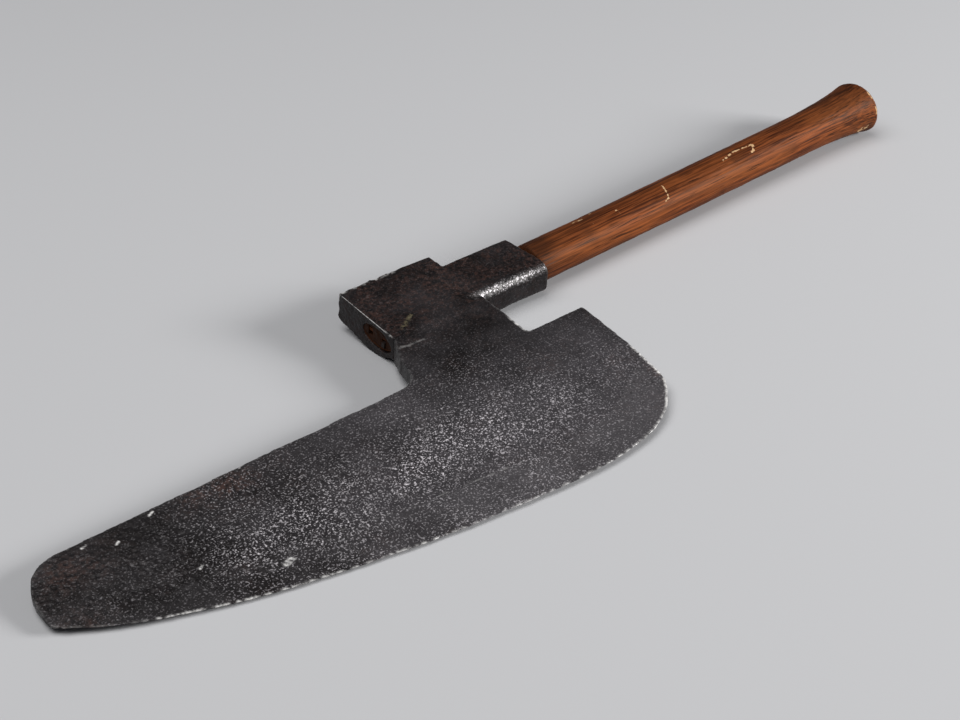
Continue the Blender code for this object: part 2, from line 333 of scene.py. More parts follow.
def piece(name, data, finish, slot, *nodes, sharp=42.0):
    """A finished piece in the row frame, which stands for CAD nodes."""
    made = bpy.data.objects.new(name, data)
    bpy.context.collection.objects.link(made)
    data.name = name
    data.materials.clear()
    data.materials.append(finish)
    data.shade_smooth()
    data.set_sharp_from_angle(angle=math.radians(sharp))
    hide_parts(*nodes)
    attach(made, "root")
    return made


# Blade and its steel ----------------------------------------------------------------

SEAM_REACH = 0.36  # mm within which a point belongs to the seam with another piece
FACE_DEPTH = 0.3  # mm below the hewing face that still count as it
THROUGH = (1.0, 1.0, 0.2)  # stretches patches of noise through the plate's thickness
FORGED = (1.0, 1.0, 0.3)  # the same for the forging's unevenness
SOUND_THICKNESS = 5.0  # mm of plate that take the full depth of a pit
MOST_THICKNESS = 9.0  # mm of plate that the thickness is measured up to
FAR_BELOW = 60.0  # mm below the hewing face, where no piece reaches

RUST_PLACES = (
    # (u, v), (reach along u, reach along v), strength
    ((-188.0, 128.0), (52.0, 20.0), 1.0),
    ((-300.0, 140.0), (40.0, 30.0), 0.7),
    ((-318.0, 190.0), (26.0, 40.0), 0.6),
    ((72.0, 150.0), (26.0, 16.0), 0.6),
    ((132.0, 205.0), (12.0, 34.0), 0.7),
    ((118.0, 180.0), (30.0, 30.0), 0.35),
)
BARE_LINES = (
    # start, end, reach, strength
    ((80.0, 70.0), (87.0, 112.0), 3.0, 0.8),
    ((138.5, 174.0), (132.5, 204.0), 6.0, 1.0),
    ((127.0, 217.0), (106.0, 242.0), 5.0, 1.0),
    ((-332.0, 172.0), (-332.0, 220.0), 3.0, 0.25),
)
PALE_SPECKS = (
    # start, end, reach
    ((-190.2, 208.8), (-184.8, 207.6), 3.2),
    ((-236.2, 122.6), (-232.6, 121.0), 1.2),
    ((-265.2, 133.2), (-262.6, 131.4), 1.0),
    ((-284.4, 123.8), (-281.0, 122.6), 1.1),
    ((-235.2, 181.8), (-232.0, 180.2), 1.1),
    ((-169.0, 118.8), (-163.0, 116.4), 1.3),
)
FORGING_LINES = (
    # start, end of the pale lines that the forging left in the hewing face
    ((-3.0, 76.2), (18.0, 77.8)),
    ((-1.0, 75.0), (5.0, 78.0)),
)
FORGING_LINE_REACH = 1.3
FORGING_LINE_STRENGTH = 0.22


def pitting(points):
    """How heavily the hewing face is pitted, from 0 to 1: most in a band along its middle."""
    u, v = points[:, 0], points[:, 1]
    middle = 171.0 + 0.05 * u
    band = 1.0 - smooth(np.abs(v - middle) / 62.0)
    patches = smooth(0.5 + 0.6 * fractal(points * THROUGH, size=34.0, seed=11))
    heel = rise(u, 20.0, 90.0)
    neck = rise(v, 118.0, 78.0) * rise(u, -30.0, 0.0)
    amount = (0.42 + 0.62 * band) * (0.6 + 0.55 * patches)
    return np.clip(amount * (1.0 - 0.35 * heel) * (1.0 - 0.72 * neck), 0.05, 1.1)


def pits(points, amount):
    """Depth in millimetres of the corroded surface below the forged one."""
    wide = 0.60 * craters(points, size=5.2, seed=21, fill=0.7)
    small = 0.58 * craters(points + 3.1, size=2.9, seed=31, fill=0.9)
    grain = 0.20 * fractal(points, size=2.1, seed=41, octaves=2)
    return amount * (wide + small + grain)


def undulation(points):
    """Height in millimetres of the broad unevenness that forging leaves."""
    flat = points * FORGED
    broad = 0.30 * waves(flat, size=46.0, seed=51)
    return broad + 0.13 * waves(flat, size=17.0, seed=52) + 0.05 * waves(flat, size=7.0, seed=53)


def sideways(points):
    """Unevenness of the outline, the same through the thickness and still at the weld."""
    flat = points * (1.0, 1.0, 0.0)
    hold = rise(points[:, 1], 68.0, 82.0)
    u = 0.34 * waves(flat, size=15.0, seed=61) + 0.20 * waves(flat, size=4.5, seed=62)
    v = 0.34 * waves(flat, size=15.0, seed=63) + 0.20 * waves(flat, size=4.5, seed=64)
    return np.stack([u * hold, v * hold, np.zeros(len(points))], axis=1)


def touching(points, trees):
    """Moves points that face another piece onto it, and tells which those are."""
    met = np.zeros(len(points), bool)
    for i, point in enumerate(points):
        for tree in trees:
            place = tree.find_nearest(Vector(point), SEAM_REACH)[0]
            if place is not None:
                points[i] = place
                met[i] = True
    return met


def facing(points, trees):
    """Which points lie near another piece."""
    found = np.zeros(len(points), bool)
    for tree in trees:
        found |= [tree.find_nearest(Vector(point), SEAM_REACH)[0] is not None for point in points]
    return found


def straight(points, normals):
    """Normals for points on a seam: square to the plate at its faces, nothing between them."""
    above = (np.abs(points[:, 2]) < 0.05)[:, None]
    below = (normals[:, 2] > 0.3)[:, None]
    nothing = np.zeros((len(points), 3))
    return np.where(above, (0.0, 0.0, -1.0), np.where(below, (0.0, 0.0, 1.0), nothing))


def thickness_below(points, trees):
    """Metal below or above each point, for keeping pits shallow where the plate is thin."""
    found = np.full(len(points), MOST_THICKNESS)
    for i, (u, v, _) in enumerate(points):
        for tree in trees:
            hit = tree.ray_cast(Vector((u, v, FAR_BELOW)), Vector((0.0, 0.0, -1.0)))[0]
            if hit is not None:
                found[i] = min(found[i], max(hit.z, 0.0))
    return found


def head_rust(points):
    """Where the head is brown: the poll and socket, and patches of the blade."""
    amount = 0.16 * smooth(0.3 + fractal(points, size=26.0, seed=71))
    amount = np.maximum(amount, 0.62 * rise(points[:, 1], 112.0, 32.0))
    for place, reach, strength in RUST_PLACES:
        amount = np.maximum(amount, strength * near(points, place, reach))
    patches = smooth(0.5 + 0.9 * fractal(points, size=9.0, seed=72))
    return np.clip(amount * (0.4 + 0.8 * patches), 0.0, 1.0)


def head_scale(points):
    """Where black scale is left: all of the poll, fading across the neck of the blade."""
    u, v = points[:, 0], points[:, 1]
    neck = 0.88 * rise(v, 182.0, 90.0) * rise(u, -70.0, 20.0)
    poll = rise(v, 70.0, 60.0)
    toe = 0.88 * rise(u, 20.0, -240.0)
    rubbed = 0.35 * rise(v, 175.0, 215.0) * rise(u, -60.0, 0.0)
    amount = np.maximum(np.maximum(neck, toe), poll) - rubbed
    return np.clip(amount + 0.20 * fractal(points, size=30.0, seed=75), 0.0, 1.0)


def head_glint(points, amount):
    """Where glints of light are painted as bright specks on the edges of the pits."""
    u, v = points[:, 0], points[:, 1]
    patches = smooth(0.55 + 0.8 * fractal(points * THROUGH, size=24.0, seed=77))
    inner = between(0.3, 1.0, rise(v, 88.0, 138.0))
    band = rise(v, 140.0, 185.0) * (1.0 - 0.45 * rise(v, 195.0, 220.0))
    toe = 1.0 - 0.75 * rise(u, -190.0, -250.0)
    heel = 1.0 - 0.45 * rise(u, 30.0, 90.0)
    share = 0.20 + 0.44 * band * (0.40 + 0.65 * patches) + 0.18 * amount
    return np.clip(share * inner * toe * heel, 0.0, 1.0)


def plate_wear(points, normals, convex, seam):
    """Where the plate's rim is rubbed bright: along its cutting edge, and on the listed lines."""
    v = points[:, 1]
    rim = rise(convex, 0.05, 0.30) * (normals[:, 2] < RIM_SLOPE) * ~seam
    amount = np.zeros(len(points))
    for start, end, reach, strength in BARE_LINES:
        amount = np.maximum(amount, strength * near_line(points, start, end, reach))
    spots = smooth(0.5 + 1.8 * fractal(points, size=2.4, seed=81))
    cutting = 0.85 * rise(v, 195.0, 207.0) * spots
    lip = 1.0 - rise(points[:, 2], FACE_DEPTH, 0.9)
    held = rim * lip * rise(v, 0.0, 60.0)
    edge = held * np.clip(0.12 * spots + cutting, 0.0, 1.0)
    lines = held * np.clip(amount * (0.6 + spots), 0.0, 1.0)
    return edge, lines


def flat_specks(points):
    """Small pale marks and forging lines in the hewing face."""
    found = np.zeros(len(points))
    torn = smooth(0.75 + 1.5 * fractal(points, size=2.6, seed=83))
    for start, end, reach in PALE_SPECKS:
        speck = smooth(1.5 * near_line(points, start, end, reach))
        found = np.maximum(found, torn * speck)
    for start, end in FORGING_LINES:
        line = FORGING_LINE_STRENGTH * near_line(points, start, end, FORGING_LINE_REACH)
        found = np.maximum(found, line)
    return found * (points[:, 2] < FACE_DEPTH)


def plate_bare(data, points, normals, convex, seam):
    """Bright metal and pale marks of a plate, the rim's spread over its rounded corner."""
    edge, lines = plate_wear(points, normals, convex, seam)
    edge = spread(data, spread(data, edge, 0.7), 0.5)
    lines = spread(data, spread(data, lines, 1.0), 0.8)
    return np.maximum(np.maximum(edge, lines), flat_specks(points))


def corroded(points, normals, convex, seam, sunk):
    """Where a plate's points go: sunk by pits, uneven, round at its corners, still at a seam."""
    below = thickness_below(points, [cad_tree("blade"), cad_tree("edge_steel")])
    share = np.clip(below / SOUND_THICKNESS, 0.04, 1.0)
    rounding = 0.34 * rise(convex, 0.08, 0.38) * share * ~seam
    uneven = undulation(points) * np.sign(-normals[:, 2]) * rise(below, 0.0, 4.0)
    moved = points + normals * ((uneven - sunk) * share - rounding)[:, None]
    loose = (np.abs(normals[:, 2]) > 0.98) & ~seam
    jitter = 0.22 * np.stack([waves(points, size=0.7, seed=91 + i) for i in range(2)], axis=1)
    moved[:, :2] += np.where(loose[:, None], jitter, 0.0)
    return moved + sideways(points)


def make_plate(name, node, others, fixed, finish, slot):
    """The blade or its steel, corroded and knocked about."""
    data = dense_plate(node)
    points = points_of(data)
    normals = normals_of(data)
    convex = convexity(data, points, normals)
    met = touching(points, [cad_tree(other) for other in others])
    seam = met | facing(points, [cad_tree(other) for other in fixed])
    normals = np.where(seam[:, None], straight(points, normals), normals)
    amount = pitting(points)
    top = rise(normals[:, 2], 0.5, -0.5)
    # painted shade: the rim's sides and the underside are as black as scale, for the dark line under
    # the cutting edge
    side = rise(points[:, 2], 0.4, 0.9)
    sunk = pits(points, amount * (0.35 + 0.65 * top))
    keep_looks(
        data,
        pit=np.clip(sunk / 0.4, 0.0, 1.0),
        rust=head_rust(points),
        scale=np.maximum(head_scale(points), side),
        # painted glints on the hewing face, none on the rim's sides
        glint=head_glint(points, amount) * top * (1.0 - side),
        bare=plate_bare(data, points, normals, convex, seam),
        dust=0.0,
    )
    set_points(data, from_head(corroded(points, normals, convex, seam, sunk)))
    return piece(name, data, finish, slot, node)


# Poll, socket and wedges ------------------------------------------------------------

SOCKET_PITTING = 0.6  # how heavily the poll and socket are pitted
CORNER = (57.0, 2.5)  # v and depth of the socket's corner above the knuckle notch
CORNER_REACH = 6.0
POLL_RIM_DEPTH = 3.0  # mm below the hewing face that the rims of the poll reach
END_RIM = ((0.0, -4.0), (0.0, 62.0))
BACK_RIM = ((2.0, -4.0), (60.0, -4.0))
BURRED_RIM = ((4.0, -3.6), (50.0, -3.6))
DUST_STREAK = ((14.0, 58.0), (28.0, 49.0))


def socket_corner(points):
    """1 along the rounded corner of the socket tube, past the poll, where a highlight is painted."""
    away = np.linalg.norm(points[:, 1:] - CORNER, axis=1)
    return (1.0 - smooth(away / CORNER_REACH)) * rise(points[:, 0], 74.0, 86.0)


def socket_mouth(points):
    """1 at the open end of the socket tube, where the painted highlight on its corner is weaker."""
    return rise(points[:, 0], 128.0, 146.0)


def off_weld(points):
    """1 away from the weld with the blade, and 0 at it, where the surface stays still."""
    return rise(points[:, 1], 65.0, 60.0)


def socket_bare(points, rub, corner):
    """Bright metal of the poll and socket: the end's rim and the battered back; a painted highlight
    along the corner.
    """
    depth = points[:, 2]
    speckle = smooth(0.2 + 1.4 * fractal(points, size=1.9, seed=105))
    end_rim = near_line(points, *END_RIM, 3.0) * (depth < POLL_RIM_DEPTH)
    back_rim = near_line(points, *BACK_RIM, 5.0) * (depth < POLL_RIM_DEPTH)
    bare = rub * (0.08 + 0.9 * end_rim + 0.9 * back_rim * speckle)
    dull = 1.0 - 0.7 * socket_mouth(points)
    # painted highlight along the socket's rounded corner, weaker at the mouth
    bare = np.maximum(bare, 0.26 * corner * (0.4 + 0.6 * speckle) * dull)
    burrs = near_line(points, *BURRED_RIM, 3.4) * (depth < 1.6)
    bare = np.maximum(bare, burrs * smooth(0.3 + 1.6 * fractal(points, size=4.0, seed=106)))
    return np.clip(bare, 0.0, 1.0)


def hammered(points, sunk):
    """Height in millimetres of the hammered, pitted and battered skin."""
    u, v = points[:, 0], points[:, 1]
    hammer = 0.32 * waves(points, size=16.0, seed=101) + 0.16 * waves(points, size=7.0, seed=102)
    battered = 0.9 * rise(v, 2.0, -4.0) * rise(u, 70.0, 50.0)
    battered *= fractal(points, size=5.0, seed=103)
    return (hammer - sunk + battered) * off_weld(points)


def make_socket(finish):
    """Poll and socket: hammered, battered along the back, rusted on top; less rust on the sides as
    partly painted shade, and a painted highlight along the corner.
    """
    data = dense_lump("eye_socket", LUMP_VOXEL, passes=5)
    points = points_of(data)
    normals = normals_of(data)
    sunk = 0.75 * pits(points, np.full(len(points), SOCKET_PITTING))
    rub = rise(convexity(data, points, normals), 0.05, 0.25) * off_weld(points)
    corner = socket_corner(points)
    # partly painted shade: the sides and underside keep less of the light rust, so the poll's end
    # face, turned from the light, is darker
    painted_shade_rust_share = 0.4 + 0.6 * smooth(-normals[:, 2])
    keep_looks(
        data,
        pit=np.clip(sunk / 0.35, 0.0, 1.0),
        rust=head_rust(points) * (1.0 - corner) * painted_shade_rust_share,
        scale=head_scale(points),
        # painted highlight along the socket's corner, as glints and as bright metal
        glint=0.04 + 0.9 * corner * (1.0 - 0.5 * socket_mouth(points)),
        dust=(points[:, 2] < 1.0) * near_line(points, *DUST_STREAK, 3.0),
        bare=socket_bare(points, rub, corner),
    )
    set_points(data, from_head(points + normals * hammered(points, sunk)[:, None]))
    return piece("socket_and_poll", data, finish, "socket_iron", "eye_socket", sharp=60.0)


def make_wedge(name, node, finish, slot, seed):
    """A small wedge with uneven faces; its material takes what it needs of the looks."""
    data = dense_lump(node, WEDGE_VOXEL, passes=2)
    points = points_of(data)
    uneven = 0.10 * fractal(points, size=3.0, seed=seed)
    moved = points + normals_of(data) * uneven[:, None]
    keep_looks(
        data,
        pit=smooth(0.5 + 0.5 * waves(points, size=2.0, seed=seed + 5)),
        rust=smooth(0.5 + 0.6 * fractal(points, size=4.0, seed=seed + 6)),
        scale=0.3,
        bare=0.0,
        glint=0.0,
        dust=0.0,
        worn=0.0,
        dirt=0.6,
    )
    keep_grain(data, points)
    set_points(data, from_head(moved))
    return piece(name, data, finish, slot, node, sharp=60.0)


# Haft -------------------------------------------------------------------------------

# Haft coordinates: along its axis from the middle of the grip towards the butt, across it
# to the side and over it, all in millimetres. Degrees round it count from side to over.

GRIP_MIDDLE = Vector(MOUNTS["haft_grip"]["pos_m"])
KERF_REACH = 52.0  # mm of the tenon in which the saw kerf hides the section
KERF_STEP = 4.0  # mm between rings there
SLOPE_SPAN = 40.0  # mm of clear tenon that the hidden sections are drawn on from
TIP_INSETS = (0.45, 0.2, 0.06)  # mm of the last rings from the tip of the butt
CHIP_RADIUS = 15.0  # mm of haft that turn degrees into ways round it
END_RINGS = 22  # rings of faces that close each end of the haft
DEEPEST_DIRT_AND_SHADE = 0.77  # all but the end of the tenon stays lighter than this

CHIPS = (
    # start and end as (distance from the middle of the grip, degrees round), reach in mm
    ((32.0, 75.0), (49.0, 87.0), 1.5),
    ((49.0, 87.0), (73.0, 81.0), 1.3),
    ((73.0, 80.0), (69.0, 63.0), 1.8),
    ((62.0, 59.0), (69.0, 63.0), 1.4),
    ((-41.0, 88.0), (-45.0, 45.0), 1.3),
    ((-45.0, 45.0), (-51.0, 42.0), 1.5),
    ((-99.0, 80.0), (-98.0, 66.0), 1.5),
    ((-112.0, 122.0), (-119.0, 116.0), 1.5),
    ((-140.0, 112.0), (-131.0, 106.0), 1.5),
    ((-178.5, 25.0), (-177.0, 29.0), 1.5),
    ((222.0, -24.0), (215.0, -30.0), 4.2),
    ((228.0, 64.0), (231.5, 14.0), 1.6),
)
TENON_SLOTS = (
    # middle across and above the axis, half sizes, in mm
    ((-9.0, 1.0), (1.7, 3.6)),
    ((6.0, -1.0), (1.6, 3.0)),
)
SLOT_DEPTH = 3.4


def haft_directions():
    """The haft's axis from poll to butt, and the two ways across it."""
    points = points_of(frame["nodes"]["haft"].data)
    out = Vector(np.linalg.svd(points - points.mean(axis=0), full_matrices=False)[2][0])
    if out.x < 0.0:
        out = -out
    side = out.cross(UP).normalized()
    return out.normalized(), side, side.cross(out).normalized()


OUT, SIDE, OVER = haft_directions()


def haft_reach():
    """Distance of the haft's two ends from the middle of the grip, in millimetres."""
    data = frame["nodes"]["haft"].data
    along = (points_of(data) - np.array(GRIP_MIDDLE)) @ np.array(OUT) / MM
    return along.min(), along.max()


FIRST, LAST = haft_reach()  # the end of the tenon and the tip of the butt


def from_haft(points):
    return points * MM @ np.array([OUT, SIDE, OVER]) + np.array(GRIP_MIDDLE)


def haft_section(tree, distance):
    """Centre offset and half sizes of the haft across its axis, in millimetres."""
    centre = GRIP_MIDDLE + OUT * distance * MM
    reach = []
    for way in (SIDE, -SIDE, OVER, -OVER):
        hit = tree.ray_cast(centre, way)[3]
        reach.append(hit / MM if hit else 0.0)
    right, left, top, low = reach
    return (right - left) / 2, (top - low) / 2, (right + left) / 2, (top + low) / 2


def haft_table():
    """Stations along the haft with the section at each; the tenon's end is extrapolated."""
    mesh = bmesh.new()
    mesh.from_mesh(frame["nodes"]["haft"].data)
    tree = BVHTree.FromBMesh(mesh)
    mesh.free()
    clear = FIRST + KERF_REACH
    known = np.array([haft_section(tree, s) for s in (clear, clear + SLOPE_SPAN)])
    slope = (known[1] - known[0]) / SLOPE_SPAN
    stations = list(np.arange(FIRST, clear, KERF_STEP))
    rows = [known[0] + slope * (s - clear) for s in stations]
    painted_shade_rust_share = [*np.arange(clear, LAST - 0.6, HAFT_STEP), *(LAST - np.array(TIP_INSETS))]
    stations += painted_shade_rust_share
    rows += [haft_section(tree, s) for s in painted_shade_rust_share]
    return np.array(stations), np.array(rows)


def haft_unevenness(local):
    """Height in millimetres of a hand-shaped surface with open grain, none at the tip."""
    shape = local * (0.35, 1.0, 1.0)
    stretched = local * (0.05, 1.0, 1.0)
    lumps = 0.30 * waves(shape, size=17.0, seed=201) + 0.12 * waves(local, size=9.0, seed=202)
    grooves = -0.24 * smooth(2.2 * waves(stretched, size=1.5, seed=203) - 0.6)
    grooves -= 0.10 * smooth(0.5 + waves(stretched, size=0.9, seed=204))
    return (lumps + grooves) * rise(local[:, 0], LAST, LAST - 3.0)


def haft_rings(stations, rows):
    """Angle round the haft, even place and final place of each point of its rings."""
    angle = np.tile(np.arange(HAFT_ROUND) * math.tau / HAFT_ROUND, len(stations))
    along = np.repeat(stations, HAFT_ROUND)
    middle_side, middle_over, wide, thick = np.repeat(rows, HAFT_ROUND, axis=0).T
    local = np.stack([along, wide * np.cos(angle), thick * np.sin(angle)], axis=1)
    grow = haft_unevenness(local)
    side = (wide + grow) * np.cos(angle) + middle_side
    over = (thick + grow) * np.sin(angle) + middle_over
    return angle, local, np.stack([along, side, over], axis=1)


def ring_faces(rings):
    """Four-sided faces between each ring and the next."""
    faces = []
    for ring in range(rings - 1):
        low, high = ring * HAFT_ROUND, (ring + 1) * HAFT_ROUND
        for i in range(HAFT_ROUND):
            j = (i + 1) % HAFT_ROUND
            faces.append((low + i, low + j, high + j, high + i))
    return faces


def close_end(points, faces, ring):
    """Closes an end with rings of faces drawn in to its middle; tells the points it adds."""
    middle = points[ring].mean(axis=0)
    added = np.arange(len(ring) * (END_RINGS - 1) + 1) + len(points)
    layers = [ring]
    for k in range(1, END_RINGS):
        layers.append(np.arange(len(ring)) + len(points))
        drawn_in = middle + (points[ring] - middle) * (1.0 - k / END_RINGS)
        points = np.concatenate([points, drawn_in])
    points = np.concatenate([points, middle[None]])
    for outer, inner in zip(layers, layers[1:]):
        ahead, inner_ahead = np.roll(outer, -1), np.roll(inner, -1)
        faces += zip(outer.tolist(), ahead.tolist(), inner_ahead.tolist(), inner.tolist())
    last = layers[-1]
    centre = [len(points) - 1] * len(last)
    faces += zip(last.tolist(), np.roll(last, -1).tolist(), centre)
    return points, added


def near_slot(points, middle, half):
    """1 inside a small square hole in the end of the tenon."""
    away = np.abs(points[:, 1:] - points[:, 1:].mean(axis=0) - middle) - half
    return 1.0 - smooth((away.max(axis=1) + 0.3) / 0.6)


def roughen_ends(points, tenon, butt):
    """Rough end grain with two gaps at the tenon, and a nearly smooth butt."""
    end = points[tenon]
    rough = 0.5 * waves(end, size=5.0, seed=209) + 0.3 * waves(end, size=2.2, seed=210)
    holes = sum(near_slot(end, *slot) for slot in TENON_SLOTS)
    points[tenon, 0] += 0.5 - 0.9 * rough + SLOT_DEPTH * holes
    points[butt, 0] += 0.15 * waves(points[butt], size=3.0, seed=211)


def chipped(local, angle):
    """1 where the varnish is knocked off to pale wood, as on the listed lines."""
    turned = np.where(angle > math.pi, angle - math.tau, angle)
    places = np.stack([local[:, 0], turned * CHIP_RADIUS], axis=1)
    ragged = smooth(0.75 + 1.4 * waves(local, size=2.4, seed=208))
    found = np.zeros(len(local))
    for start, end, reach in CHIPS:
        ends = [(s, math.radians(degree) * CHIP_RADIUS) for s, degree in (start, end)]
        found = np.maximum(found, near_line(places, *ends, reach))
    return np.clip(1.8 * found * ragged, 0.0, 1.0)


def haft_wear(local, angle):
    """Where the varnish is gone: the chips, scuffs, and the rim of the butt."""
    along = local[:, 0]
    rim = rise(along, LAST - 11.0, LAST - 8.0) * rise(along, LAST - 4.5, LAST - 7.5)
    worn = 0.55 * rim * smooth(0.2 + 1.3 * fractal(local, size=5.0, seed=205))
    scuffs = smooth(4.0 * fractal(local * (0.3, 1.0, 1.0), size=7.0, seed=206) - 3.8)
    return np.clip(worn + scuffs + chipped(local, angle), 0.0, 1.0)


def haft_dirt(local, angle, tenon):
    """Where the wood is dark: painted shade along its top and underside; darker also in and at the
    socket and towards the butt.
    """
    along, up = local[:, 0], np.sin(angle)
    mouth = 0.8 * (1.0 - rise(along, FIRST + 150.0, FIRST + 190.0)) + 0.6 * (along < FIRST + 30.0)
    # painted shade along the top and the underside of the haft
    shade_and_butt = 0.45 * rise(up, -0.1, -0.9) + 0.45 * rise(up, 0.6, 0.95)
    # darker towards the butt
    shade_and_butt += 0.25 * rise(along, LAST - 90.0, LAST - 40.0)
    patches = 0.4 * smooth(fractal(local, size=30.0, seed=207))
    dirt = np.clip(DEEPEST_DIRT_AND_SHADE * (mouth + shade_and_butt + patches), 0.0, DEEPEST_DIRT_AND_SHADE)
    dirt[tenon] = 1.0
    return dirt


def make_haft(finish):
    """The haft: hand-shaped, open-grained and closed by a rough tenon end and a domed butt."""
    stations, rows = haft_table()
    angle, local, points = haft_rings(stations, rows)
    faces = ring_faces(len(stations))
    first_ring = np.arange(HAFT_ROUND)
    last_ring = first_ring + (len(stations) - 1) * HAFT_ROUND
    points, tenon = close_end(points, faces, first_ring[::-1])
    points, butt = close_end(points, faces, last_ring)
    roughen_ends(points, tenon, butt)
    below = np.full(len(points) - len(angle), 1.5 * math.pi)
    angle = np.concatenate([angle, below])
    local = np.concatenate([local, points[len(local):]])
    data = bpy.data.meshes.new("haft_wood")
    data.from_pydata(from_haft(points).tolist(), [], faces)
    keep_looks(data, worn=haft_wear(local, angle), dirt=haft_dirt(local, angle, tenon))
    keep_grain(data, local)
    return piece("haft_wood", data, finish, "haft_wood", "haft", sharp=60.0)


# Materials --------------------------------------------------------------------------


def colour(red, green, blue):
    return (red, green, blue, 1.0)


# black scale, also the painted shade on the plates' rims
BLACK_SCALE_AND_SHADE = colour(0.010, 0.008, 0.008)
# painted glint: a pale colour that stands in for the light's glints on the pitted iron
PAINTED_GLINT = colour(0.85, 0.80, 0.83)
PIT_BOTTOM = colour(0.022, 0.020, 0.021)
RUST_DARK = colour(0.018, 0.009, 0.007)
RUST_LIGHT = colour(0.078, 0.032, 0.022)
DRY_CLAY = colour(0.14, 0.12, 0.07)
# bright worn metal; on the socket's corner it is a painted highlight
BARE_METAL_AND_HIGHLIGHT = colour(0.78, 0.76, 0.74)
BLADE_IRON = colour(0.086, 0.079, 0.085)
EDGE_STEEL = colour(0.112, 0.104, 0.110)
WEDGE_IRON = colour(0.05, 0.040, 0.036)
WOOD_DARK = (0.070, 0.014, 0.004)
WOOD_LIGHT = (0.42, 0.112, 0.030)
WOOD_WARM = (0.46, 0.135, 0.034)
PORE = colour(0.022, 0.008, 0.004)
# dark wood: dirt, and the painted shade on the haft's top and underside
WOOD_DIRT_AND_SHADE = colour(0.022, 0.009, 0.005)
PALE_WOOD = colour(0.56, 0.36, 0.19)
VARNISH_TINT = colour(1.0, 0.74, 0.55)


def new_material(name):
    made = bpy.data.materials.new(name)
    made.use_nodes = True
    return made, made.node_tree, made.node_tree.nodes["Principled BSDF"]


def add(tree, kind, inputs, **settings):
    """A node whose inputs are constants or other nodes' outputs."""
    made = tree.nodes.new(kind)
    for name, value in settings.items():
        setattr(made, name, value)
    for name, value in inputs.items():
        if isinstance(value, bpy.types.NodeSocket):
            tree.links.new(value, made.inputs[name])
        else:
            made.inputs[name].default_value = value
    return made


def noise(tree, vector, scale, detail, rough):
    inputs = {"Vector": vector, "Scale": scale, "Detail": detail, "Roughness": rough}
    return add(tree, "ShaderNodeTexNoise", inputs).outputs["Fac"]


def remap(tree, value, low, high, to_low=0.0, to_high=1.0):
    inputs = {"Value": value, "From Min": low, "From Max": high, "To Min": to_low, "To Max": to_high}
    return add(tree, "ShaderNodeMapRange", inputs).outputs["Result"]


def times(tree, a, b):
    made = add(tree, "ShaderNodeMath", {0: a, 1: b}, operation="MULTIPLY", use_clamp=True)
    return made.outputs[0]


def plus(tree, a, b):
    made = add(tree, "ShaderNodeMath", {0: a, 1: b}, operation="ADD", use_clamp=True)
    return made.outputs[0]


def minus(tree, a, b):
    return add(tree, "ShaderNodeMath", {0: a, 1: b}, operation="SUBTRACT").outputs[0]


def blend(tree, share, first, second):
    made = add(tree, "ShaderNodeMix", {0: share, 6: first, 7: second}, data_type="RGBA")
    return made.outputs[2]


def look(tree, name, output="Fac"):
    """What keep_looks or keep_grain has kept on the mesh."""
    return add(tree, "ShaderNodeAttribute", {}, attribute_name=name).outputs[output]


def bump(tree, height, strength, distance, under=None):
    inputs = {"Height": height, "Strength": strength, "Distance": distance}
    if under is not None:
        inputs["Normal"] = under
    return add(tree, "ShaderNodeBump", inputs).outputs["Normal"]


def painted_glint_specks(tree, place, amount):
    """Painted glints on the lips of the pits: fine dots all over, and larger ones where the amount
    is high.
    """
    dots = remap(tree, noise(tree, place, 760.0, 1.0, 0.5), 0.565, 0.70)
    lips = remap(tree, noise(tree, place, 430.0, 2.0, 0.6), 0.60, 0.67)
    dots = times(tree, dots, remap(tree, amount, 0.0, 0.8, 0.0, 0.8))
    lips = times(tree, lips, remap(tree, amount, 0.38, 0.85, 0.0, 1.0))
    return plus(tree, dots, lips)


def scaled_tone(tree, place, light):
    """Light iron under black scale, darkest in the pits; the same black paints the shade on the
    plates' rims and undersides.
    """
    broad = noise(tree, place, 24.0, 6.0, 0.6)
    scale = times(tree, look(tree, "scale"), 0.85)
    dark = plus(tree, scale, remap(tree, broad, 0.42, 0.68, 0.0, 0.35))
    tone = blend(tree, dark, light, BLACK_SCALE_AND_SHADE)
    return blend(tree, times(tree, look(tree, "pit"), 0.55), tone, PIT_BOTTOM)


